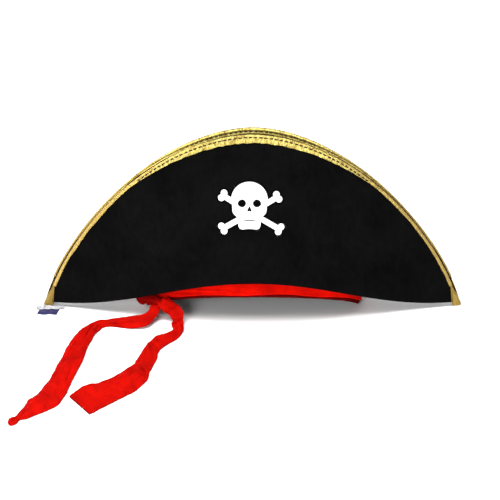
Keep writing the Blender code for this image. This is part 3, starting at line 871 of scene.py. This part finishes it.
def sweatband_stitches(name, mat):
    """Two rows of stitches that hold the tape to the rim, seen inside the opening."""
    half = math.pi - ELASTIC_HALF - 0.03
    centres = []
    runs = []
    for height in SWEAT_STITCH["rows"]:
        angles = np.linspace(-half, half, 4000) - math.pi / 2
        line = crown_point(angles, height, CROWN_T + 1.9 * MM)
        line = even_samples(line, int(arc_lengths(line)[-1] / SWEAT_STITCH["pitch"]))
        centres += list(line[1:-1])
        runs += list(unit(line[2:] - line[:-2]))
    return capsules(name, centres, runs, SWEAT_STITCH["r"], SWEAT_STITCH["length"], mat)


def rear_elastic(name, mat):
    """Elastic tape drawn up into even gathers, frilled at both edges."""
    angles = np.linspace(-ELASTIC_HALF, ELASTIC_HALF, ELASTIC_GATHERS * 10 + 1)[:, None] + math.pi / 2
    share = np.linspace(0.0, 1.0, 16)[None, :]
    turn = (angles - math.pi / 2) / ELASTIC_HALF * ELASTIC_GATHERS * math.pi
    wave = 0.5 - 0.5 * np.cos(turn + 0.5 * soft_noise(angles * 30, share * 3, 17))
    frill = 0.35 * MM * np.sin(turn * 0.5 + 1.0) * (np.abs(share - 0.5) * 2) ** 3
    height = ELASTIC_LOW + ELASTIC_H * share + frill
    rows = 0.55 + 0.45 * np.abs(np.sin(share * math.pi * 4))
    inset = CROWN_T + 1.1 * MM + 1.3 * MM * wave * rows
    return wall_strip(name, angles, height, inset, 0.6 * MM, mat)[:2]


# ======== sash and knot

# section of the band from its lower to its upper edge: share of the way, share of the full
# thickness, height in mm, and whether that height is counted from the wavy lip
BAND_PROFILE = ((0.00, 0.05, 0.0, 0.0), (0.08, 0.10, 0.2, 0.0), (0.17, 0.34, -3.4, 1.0),
                (0.24, 0.55, -2.8, 1.0), (0.30, 0.60, -1.6, 1.0), (0.35, 0.50, -0.7, 1.0),
                (0.39, 0.40, -0.2, 1.0), (0.43, 0.92, -0.3, 1.0), (0.48, 1.06, 0.5, 1.0),
                (0.60, 1.00, 3.6, 1.0), (0.80, 1.02, 12.0, 0.0), (0.94, 0.95, 15.8, 0.0),
                (1.00, 0.50, 17.0, 0.0))
ROLL_SHARE = 0.41          # the thin roll is the section up to this share


def sash_band(name, mat, roll_shade_mat):
    """Soft cloth folded round the rim: a full upper part lapping over a thin roll set back below,
    which is painted a much darker red as the shade under the upper part."""
    angles = np.linspace(0.0, 2 * np.pi, 540, endpoint=False)[:, None]
    turn = np.linspace(0.0, 1.0, 70)[None, :]
    places, thicks, heights, follow = (np.array(c) for c in zip(*BAND_PROFILE))
    along = angles * SASH_RADIUS
    lip = 4.6 + 0.6 * np.sin(angles * 9.0 + 0.8) + 0.7 * soft_noise(along / 17, 0.5, 5)
    lip = lip + 0.25 * soft_noise(along / 6, 1.5, 6)
    thick = np.interp(turn, places, thicks) + 0.0 * angles
    height = np.interp(turn, places, heights) + np.interp(turn, places, follow) * lip
    upper = smoothstep(0.40, 0.55, turn) * (1.0 - smoothstep(0.93, 1.0, turn))
    folds = 0.10 * soft_noise(along / 34 + turn * 1.6, turn * 2.2, 8)
    folds = folds + 0.05 * soft_noise(along / 11, turn * 3.0, 10)
    tight = hump(along, 345.0, 30.0)
    pleats = tight * 0.16 * np.sin(turn * 26.0 + along / 9.0)
    fine = 0.04 * soft_noise(along / 5, turn * 6, 12)
    thick = np.maximum(thick + (folds + pleats) * upper + fine, 0.06)
    outer = crown_point(angles, height * MM, SASH_NEAR - SASH_T * thick)
    inner = crown_point(angles, SASH_H * 0.96 * turn + 0.0 * angles, SASH_NEAR + 0.0 * height)
    obj, area = shell(name, outer, inner, mat, ring=True, sharp=60.0)
    obj.data.materials.append(roll_shade_mat)
    # Faces of the roll, up to ROLL_SHARE of the section, take the second, much darker red: painted shade
    # under the upper part's lip.
    columns = 2 * turn.shape[1]
    crease_column = int(ROLL_SHARE * turn.shape[1])
    for face in obj.data.polygons:
        face.material_index = int(face.index % columns < crease_column)
    return obj, area


def sash_knot(name, mat):
    """A drawn-tight knot: a long twisted lump with a loop round its waist and a fat left lobe."""
    rows = 110
    sides = 96
    t = np.linspace(-1.0, 1.0, rows)[:, None]
    turn = (2 * np.pi * np.arange(sides) / sides)[None, :]
    body = (1.0 - np.abs(t) ** 3.2) ** 0.5
    body = body * (0.86 + 0.20 * hump(t, -0.62, 0.30) - 0.16 * hump(t, -0.22, 0.10))
    twist = 0.06 * np.sin(3 * turn + 3.0 * t) + 0.04 * np.sin(5 * turn - 3.0 * t + 1.0)
    sharp = -0.15 * hump(np.sin(turn + 1.1 * t + 0.6), 0.0, 0.18)
    slant = 0.16 * np.sin(turn + 0.8)
    loop = 0.15 * hump(t - slant, 0.06, 0.16) - 0.12 * hump(t - slant, 0.30, 0.06)
    rough = 0.05 * soft_noise(turn * 4 / np.pi, t * 9.0, 23)
    radius = body * (1.0 + twist + sharp + loop + rough * np.sin(turn / 2) ** 2)
    along = np.array((math.cos(KNOT_TURN), math.sin(KNOT_TURN), 0.0))
    out = np.array((along[1], -along[0], 0.0))
    up = np.array((0.0, 0.0, 1.0))
    sag = -1.6 * MM * hump(t, -0.55, 0.3)
    points = np.array(KNOT_CENTRE) + along * (KNOT_HALF[0] * t - KNOT_BACK)[..., None]
    points = points + out * (KNOT_HALF[1] * radius * np.cos(turn))[..., None]
    points = points + up * (KNOT_HALF[2] * radius * np.sin(turn) + sag)[..., None]
    verts = list(points[1:-1].reshape(-1, 3)) + [points[0, 0], points[-1, 0]]
    faces = ring_quads(rows - 2, sides)
    first, last = len(verts) - 2, len(verts) - 1
    for k in range(sides):
        n = (k + 1) % sides
        faces.append((first, n, k))
        faces.append((last, (rows - 3) * sides + k, (rows - 3) * sides + n))
    return face_outwards(make_object(name, verts, faces, mat, sharp=70.0))


# ======== tails

def smooth_curve(points, count):
    """Catmull-Rom curve through the points, evenly sampled."""
    pts = np.array(points, float)
    pts = np.vstack([2 * pts[0] - pts[1], pts, 2 * pts[-1] - pts[-2]])
    out = []
    for i in range(1, len(pts) - 2):
        a, b, c, d = pts[i - 1:i + 3]
        for t in np.linspace(0.0, 1.0, 24, endpoint=False):
            out.append(0.5 * (2 * b + (c - a) * t + (2 * a - 5 * b + 4 * c - d) * t ** 2
                              + (3 * b - a - 3 * c + d) * t ** 3))
    out.append(pts[-2])
    return even_samples(np.array(out), count)


def crease(spots, fold):
    """Height of one crease at an array of floor points in mm: a valley with a lip beside it."""
    start, end, depth, lip = fold
    start = np.array(start, float)
    run = np.array(end, float) - start
    length = np.linalg.norm(run)
    run = run / length
    offset = spots - start
    t = offset @ run
    side = offset @ np.array((-run[1], run[0]))
    past = np.maximum(np.maximum(-t, t - length), 0.0)
    fade = hump(past, 0.0, 3.0) * (0.35 + 0.65 * np.sin(np.pi * np.clip(t / length, 0.08, 0.92)))
    valley = -1.6 * depth * hump(side, 0.0, 1.3)
    side = side * np.sign(lip)
    step = 1.7 * abs(lip) * smoothstep(-0.5, 0.6, side) * np.exp(-np.maximum(side, 0.0) / 6.0)
    return (valley + step) * fade


def tail(name, edges, folds, seed, mat, stations=420):
    """Strip of thin cloth rolled into a flat tube with its lap underneath, laid on the ground."""
    curve = smooth_curve([(*left, *right, puff) for left, right, puff in edges], stations)
    left = curve[:, 0:3] * MM
    right = curve[:, 3:6] * MM
    puff = curve[:, 6]
    middle = (left + right) / 2
    spoke = (left - right) / 2
    half = np.linalg.norm(spoke, axis=1)
    run = unit(np.gradient(middle, axis=0))
    up = upwards(unit(np.cross(run, spoke)))
    s = arc_lengths(middle)
    edge_l, edge_r = (1.0 + layered_noise(seed, (0.03, s / wave, v), (0.015, s / 0.004, v))
                      for wave, v in ((0.013, 0.0), (0.012, 5.0)))

    def upper(lateral):
        spots = (middle + spoke * lateral[:, None])[:, :2] / MM
        total = puff * np.clip(1.0 - lateral ** 2, 0.0, 1.0) ** 0.6
        along = s / MM
        total = total + 0.80 * soft_noise(along / 17 + lateral, lateral * 1.8, seed + 11) * puff
        slant = lateral * 2.0 + along / 30
        total = total + 0.50 * soft_noise(along / 7.5 + lateral * 1.5, slant, seed + 17)
        total = total + 0.07 * soft_noise(along / 2.6, lateral * 5.0, seed + 19)
        for fold in folds:
            total = total + crease(spots, fold)
        return np.maximum(total, -0.2) * MM + TAIL_THIN

    spots = [("low", w) for w in np.linspace(-0.25, TAIL_TURN, 9)]
    spots += [("left", t) for t in np.linspace(-0.5, 0.5, 7)[1:-1]]
    spots += [("high", w) for w in np.linspace(TAIL_TURN, -TAIL_TURN, 58)]
    spots += [("right", t) for t in np.linspace(0.5, -0.5, 7)[1:-1]]
    spots += [("low", w) for w in np.linspace(-TAIL_TURN, -0.32, 6)]
    columns = []
    for kind, value in spots:
        if kind in ("low", "high"):
            lateral = np.full(stations, float(value))
            height = upper(lateral) if kind == "high" else np.full(stations, TAIL_LOW)
        else:
            sign = 1.0 if kind == "left" else -1.0
            lateral = np.full(stations, TAIL_TURN * sign)
            high = upper(lateral)
            radius = (high - TAIL_LOW) / 2
            height = (high + TAIL_LOW) / 2 + radius * math.sin(value * math.pi)
            lateral = lateral + sign * radius * math.cos(value * math.pi) * 0.8 / half
        scale = np.where(lateral > 0, edge_l, edge_r)
        columns.append(middle + spoke * (lateral * scale)[:, None] + up * height[:, None])
    skin = np.stack(columns, axis=1)
    normal = unit(np.cross(np.gradient(skin, axis=0), np.gradient(skin, axis=1)))
    cloth = normal * TAIL_HALF_T
    obj, _ = shell(name, skin + cloth, skin - cloth, mat, sharp=70.0)
    return obj, s[-1], grid_area(skin)


# ======== labels

def tape(name, x, y, z, half_t, mat):
    """Thin sheet lying level, from the arrays of its middle."""
    middle = np.stack(np.broadcast_arrays(x, y, z), axis=-1)
    lift = np.array((0, 0, half_t))
    return shell(name, middle + lift, middle - lift, mat)


def care_label(name, mat):
    """White tape: sewn under the tip, curling up in a rounded roll near its left end."""
    left, right = CARE_ENDS
    x = np.linspace(left, right, 64)[:, None]
    f = np.linspace(0.0, 1.0, 30)[None, :]
    front = -0.0165 + 0.0016 * smoothstep(-0.2150, right, x) + 0.0005 * np.sin(x * 700.0)
    rear = -0.0074 - 0.0017 * smoothstep(-0.2250, -0.2232, x)
    y = rear + (front - rear) * f
    z = 0.0014 + 0.00045 * soft_noise(x / 0.006, f * 2.0, 4) * f
    roll = hump(x, CARE_ROLL["at"], CARE_ROLL["half"])
    z = z + CARE_ROLL["height"] * roll * np.sin(math.pi * np.clip(f, 0, 1)) ** 0.8
    z = z + 0.0016 * smoothstep(-0.2355, left, x) * f ** 2
    return tape(name, x, y - 0.0012 * roll * f, z, 0.12 * MM, mat)


def size_label(name, mat):
    """Dark tape lying under the white one."""
    x = np.linspace(*SIZE_ENDS, 50)[:, None]
    f = np.linspace(0.0, 1.0, 44)[None, :]
    y = -0.0080 - 0.0210 * f + 0.0006 * np.sin(x * 500.0) * f
    z = 0.00035 + 0.0004 * (1 + soft_noise(x / 0.008, f * 4.0, 14)) * smoothstep(0.5, 0.75, f)
    return tape(name, x + 0.0008 * np.sin(f * 5.0), y, z, 0.1 * MM, mat)


# ======== print

def circle(cx, cz, rx, rz, count, start=0.0):
    turns = [start + 2 * math.pi * i / count for i in range(count)]
    return [(cx + rx * math.cos(t), cz + rz * math.sin(t)) for t in turns]


def rounded(points, steps=5):
    """Closed outline with its corners cut into smooth curves."""
    out = []
    for i, (x, z) in enumerate(points):
        ax, az = points[i - 1]
        bx, bz = points[(i + 1) % len(points)]
        p0 = ((ax + x) / 2, (az + z) / 2)
        p1 = ((bx + x) / 2, (bz + z) / 2)
        for k in range(steps):
            t = k / steps
            out.append(tuple((1 - t) ** 2 * a + 2 * t * (1 - t) * b + t * t * c
                             for a, b, c in zip(p0, (x, z), p1)))
    return out


def bone(x1, z1, x2, z2, grow):
    low = Vector((x1, z1))
    high = Vector((x2, z2))
    run = (high - low).normalized()
    side = Vector((-run.y, run.x))
    half = BONE_HALF + grow
    shaft = [low - side * half, high - side * half, high + side * half, low + side * half]
    loops = [[(p.x, p.y) for p in shaft]]
    for end, out in ((low, -1), (high, 1)):
        for sign in (-1, 1):
            knob = end + side * (sign * BONE_HALF) + run * (0.4 * out)
            loops.append(circle(knob.x, knob.y, KNOB + grow, KNOB + grow, 36, 0.2))
    return loops


def emblem_solid(grow=0.0):
    """A plain skull over two crossed bones, as overlapping loops in millimetres."""
    face = [(18.8, 9.0), (18.6, 2.0), (18.0, -3.0), (13.8, -6.6), (11.8, -9.4), (12.2, -16.8),
            (9.2, -20.4)]
    jaw = face + [(0.0, -18.8)] + [(-x, z) for x, z in reversed(face)]
    if grow:
        jaw = [(x * (1 + grow / 15.0), z - grow if z < -15 else z) for x, z in jaw]
    loops = [circle(0.0, 11.4, 19.6 + grow, 18.8 + grow, 72), rounded(jaw)]
    loops += bone(-28.4, 15.2, 32.2, -20.0, grow)
    loops += bone(-28.4, -19.2, 30.0, 13.9, grow)
    return loops


def emblem_holes():
    holes = []
    for hand in (-1, 1):
        eye = [(3.6, 9.6), (7.8, 12.4), (12.4, 9.8), (12.8, 5.2), (7.6, 2.8), (3.8, 5.4)]
        holes.append([(hand * x, z) for x, z in rounded(eye)])
    nose = [(0.0, 5.2), (1.4, 2.4), (2.7, -0.9), (1.0, -1.2), (0.0, 0.0), (-1.0, -1.2),
            (-2.7, -0.9), (-1.4, 2.4)]
    holes.append(rounded(nose, 3))
    mouth = [(-8.8, -9.2), (0.0, -10.0), (8.8, -9.2), (8.4, -10.3), (0.0, -11.1), (-8.4, -10.3)]
    holes.append(rounded(mouth, 4))
    for k in range(-2, 3):
        x = 2.9 * k
        top = -11.4 if k else -11.8
        holes.append([(x - 0.26, top), (x + 0.26, top), (x + 0.2, top - 3.2), (x - 0.2, top - 3.2)])
    return holes


def inside(loop, x, z):
    """Even-odd test of arrays of points against one loop."""
    hit = np.zeros(np.shape(x), bool)
    for (x1, z1), (x2, z2) in zip(loop, loop[1:] + loop[:1]):
        if z1 != z2:
            crosses = ((z1 > z) != (z2 > z)) & (x < x1 + (z - z1) * (x2 - x1) / (z2 - z1))
            hit ^= crosses
    return hit


def emblem(name, solid, holes, low, high, mat, step=1.6):
    """Film following the cloth, cut to the solid loops less the holes."""
    def covered(x, z):
        inner = np.zeros(np.shape(x), bool)
        for loop in solid:
            inner |= inside(loop, x, z)
        for loop in holes:
            inner &= ~inside(loop, x, z)
        return inner

    coords = []
    edges = []
    for loop in solid + holes:
        first = len(coords)
        coords += [Vector(p) for p in loop]
        edges += [(first + i, first + (i + 1) % len(loop)) for i in range(len(loop))]
    outline = np.array([tuple(p) for p in coords])
    gx, gz = np.meshgrid(np.arange(-42, 42, step), np.arange(-34, 34, step))
    spots = np.stack([gx.ravel(), gz.ravel()], axis=1)
    spots = spots[covered(spots[:, 0], spots[:, 1])]
    far = np.array([np.min(np.sum((outline - p) ** 2, axis=1)) > (0.5 * step) ** 2 for p in spots])
    coords += [Vector(p) for p in spots[far]]
    verts, _, faces, _, _, _ = delaunay_2d_cdt(coords, edges, [], 0, 1e-5)
    flat = np.array([tuple(v) for v in verts])
    middles = np.array([flat[list(f)].mean(axis=0) for f in faces])
    kept = [f for f, ok in zip(faces, covered(middles[:, 0], middles[:, 1])) if ok]
    used = sorted({i for f in kept for i in f})
    index = {v: n for n, v in enumerate(used)}
    x = EMBLEM_CENTRE[0] + flat[used, 0] * MM
    z = EMBLEM_CENTRE[1] + flat[used, 1] * MM
    count = len(used)
    front, back = (on_panel(x, z, np.full(count, -height), -1) for height in (high, low))
    solid_faces = []
    border = {}
    for f in kept:
        ring = [index[i] for i in f]
        solid_faces.append(tuple(ring))
        solid_faces.append(tuple(count + i for i in reversed(ring)))
        for a, b in zip(ring, ring[1:] + ring[:1]):
            if border.pop((b, a), None) is None:
                border[(a, b)] = True
    for a, b in border:
        solid_faces.append((b, a, count + a, count + b))
    return face_outwards(make_object(name, np.vstack([front, back]), solid_faces, mat))


# ======== stage

FLOOR_REACH = 6.0
FLOOR_Z = -0.1 * MM
WORLD_STRENGTH = 0.36
LIGHTS = (("overhead", (-0.40, -0.25, 2.0), 80.0, 1.6),    # name, place, watts, size
          ("front", (-0.80, -2.10, 0.75), 33.0, 0.7))
LIGHT_AIM = (0.0, 0.0, 0.05)
CAMERA_AT = (-0.0028, -1.9946, 0.9301)
CAMERA_AIM = (-0.0028, 0.0238, 0.0549)
LENS = 141.81              # focal length in mm on a 36 mm sensor


def stage():
    scene = bpy.context.scene
    mesh = bpy.data.meshes.new("floor")
    signs = ((-1, -1), (1, -1), (1, 1), (-1, 1))
    corners = [(FLOOR_REACH * x, FLOOR_REACH * y, 0.0) for x, y in signs]
    mesh.from_pydata(corners, [], [(0, 1, 2, 3)])
    paint = Graph("floor_paint", 0.9, specular=0.0)
    mesh.materials.append(paint.finish(Base_Color=(0.92, 0.92, 0.92, 1.0)))
    add_to_scene("floor", mesh, (0.0, 0.0, FLOOR_Z))

    scene.world = bpy.data.worlds.new("studio")
    scene.world.use_nodes = True
    background = scene.world.node_tree.nodes["Background"]
    background.inputs["Color"].default_value = (1.0, 1.0, 1.0, 1.0)
    background.inputs["Strength"].default_value = WORLD_STRENGTH

    for name, spot, power, size in LIGHTS:
        light = bpy.data.lights.new(name, "AREA")
        light.energy = power
        light.size = size
        add_to_scene(name, light, spot, LIGHT_AIM)

    camera = bpy.data.cameras.new("camera")
    camera.sensor_width = 36.0
    camera.lens = LENS
    scene.camera = add_to_scene("camera", camera, CAMERA_AT, CAMERA_AIM)
    scene.view_settings.view_transform = "Standard"


# ======== assembly

# Each gold's last colour is the painted shade mixed in towards the tips.
GOLD = {"bright": (0.90, 0.79, 0.25), "deep": (0.54, 0.41, 0.09), "dark": (0.13, 0.07, 0.006),
        "tip_shade": (0.42, 0.28, 0.075)}
# The tip wraps are the same ribbon, painted darker gold as shade.
TIP_SHADED_GOLD = {"bright": (0.66, 0.46, 0.12), "deep": (0.40, 0.26, 0.04), "dark": (0.10, 0.05, 0.006),
            "tip_shade": (0.36, 0.24, 0.05)}
# The band and the tails are one cloth: the band's red is painted brighter, as light, because it stands
# upright and gets less light, and the tails' red darker, as painted shade, because they lie flat under the
# overhead lamp.
RED = ((0.44, 0.0014, 0.0001), (0.80, 0.0042, 0.0002))
TAIL_SHADED_RED = ((0.25, 0.0008, 0.0001), (0.45, 0.0024, 0.0002))
# Much darker red for the sash's roll: painted shade.
ROLL_SHADE_RED = ((0.05, 0.0002, 0.0001), (0.12, 0.0005, 0.0001))
# The knot's red, painted much darker than the band's as the shade under the brim.
KNOT_SHADED_RED = ((0.11, 0.0002, 0.0001), (0.23, 0.0005, 0.0001))


def grey(level):
    return (level, level, level)


def place(obj, body, node=None, slot=None):
    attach(obj, body)
    if node:
        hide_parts(node)
    if slot or node:
        slot or node
    return obj


def brim(side, word):
    body = word + "_brim"
    nap = velour(word + "_velour", (0.0014, 0.0014, 0.0015), (0.0036, 0.0036, 0.0038), 0.3 * side)
    cloth, cloth_area = panel_cloth(word + "_cloth", side, nap)
    place(cloth, body, word + "_panel_face")
    foam, _ = panel_layer(word + "_foam", side, CORE_DEPTH, foam_skin(word + "_foam_skin"), pinch=0.3)
    place(foam, body, word + "_panel_core")
    weave = woven(word + "_lining_weave", grey(0.003), grey(0.008), 0.5 * MM, by_uv=False)
    lining, lining_area = panel_layer(word + "_lining", side, LINING_DEPTH, weave)
    place(lining, body, word + "_panel_backing")
    line = Binding(side, 2 if side < 0 else 60)
    edging, area = ribbon(word + "_ribbon", line, lame(word + "_lame", **GOLD))
    place(edging, body, word + "_trim")
    # Dark brown thread: partly the stitches' own colour, partly painted shade of the seam's puckers.
    brown = thread(word + "_thread", (0.005, 0.002, 0.0004), (0.016, 0.006, 0.001))
    stitches = place(ribbon_stitches(word + "_stitches", line, brown), body)


def tips():
    for hand, word in ((-1, "left"), (1, "right")):
        # Darker gold for the tips: painted shade.
        gold = lame(word + "_tip_shaded_lame", **TIP_SHADED_GOLD, rough=0.38)
        for side, face in ((-1, "front"), (1, "back")):
            flap, area = tip_flap(word + "_tip_" + face, hand, side, gold)
            if side < 0:
                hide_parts(word + "_tip_wrap")
            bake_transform(flap)


def crown():
    for side, word in ((-1, "front"), (1, "back")):
        mat = velour("crown_" + word + "_cloth", (0.005, 0.005, 0.0053), (0.012, 0.012, 0.0125), 1.0 + side)
        obj, area = crown_half("crown_" + word + "_cloth", side, mat)
        place(obj, "hat", "crown_" + word)
    seam, area = ridge_seam("crown_ridge_binding", thread("ridge_tape", grey(0.004), grey(0.012)))
    place(seam, "hat", slot="crown_front")
    weave = woven("sweatband_weave", grey(0.006), grey(0.016), 0.9 * MM)
    obj, area = sweatband("sweatband_tape", weave)
    place(obj, "hat", "sweatband")
    rows = sweatband_stitches("sweatband_stitches", thread("sweatband_thread", grey(0.02), grey(0.05)))
    place(rows, "hat")
    weave = woven("elastic_weave", grey(0.012), grey(0.03), 0.7 * MM)
    obj, area = rear_elastic("gathered_elastic", weave)
    place(obj, "hat", "rear_elastic")


def red_cloth(name, colours, pitch=0.45 * MM, by_uv=True):
    return woven(name, *colours, pitch, sheen=0.0, by_uv=by_uv, specular=0.03)


def sash():
    roll_shade_weave = red_cloth("sash_roll_shade_weave", ROLL_SHADE_RED)
    obj, area = sash_band("sash_cloth", red_cloth("sash_weave", RED), roll_shade_weave)
    place(obj, "hat", "sash_band")
    # The knot gets the darker red: painted shade.
    knot = sash_knot("sash_knot_cloth", red_cloth("knot_shaded_weave", KNOT_SHADED_RED, 0.5 * MM, by_uv=False))
    place(knot, "hat", "sash_knot")
    for word, edges, folds, seed in (("long", LONG_TAIL, LONG_FOLDS, 101),
                                     ("short", SHORT_TAIL, SHORT_FOLDS, 131)):
        # The tails' darker red is painted shade for the flat tails.
        mat = red_cloth(word + "_tail_shaded_weave", TAIL_SHADED_RED)
        obj, length, area = tail("tail_" + word + "_cloth", edges, folds, seed, mat)
        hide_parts("tail_" + word)
        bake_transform(obj)


def labels():
    # The white tape is painted grey: the shade under the left tip.
    white = satin("shaded_white_satin", (0.26, 0.26, 0.28), (0.48, 0.48, 0.50), 0.2)
    obj, _ = care_label("care_label_tape", white)
    place(obj, "labels", "care_label")
    navy = satin("navy_satin", (0.008, 0.008, 0.045), (0.02, 0.02, 0.09), 0.1)
    obj, area = size_label("size_label_tape", navy)
    place(obj, "labels", "size_label")


def print_on_front():
    white = emblem("skull_film", emblem_solid(), emblem_holes(), 0.09 * MM, 0.19 * MM,
                   film("white_film", grey(0.90), grey(0.80)))
    place(white, "front_brim", "skull_print")
    edge = emblem("skull_film_base", emblem_solid(2.2), [], 0.03 * MM, 0.07 * MM,
                  film("black_film", grey(0.0012), grey(0.0018), 0.9, 0.02), step=2.5)
    place(edge, "front_brim", slot="skull_print")


for side, word in ((-1, "front"), (1, "back")):
    brim(side, word)
tips()
crown()
sash()
labels()
print_on_front()
stage()

bpy.context.view_layer.update()
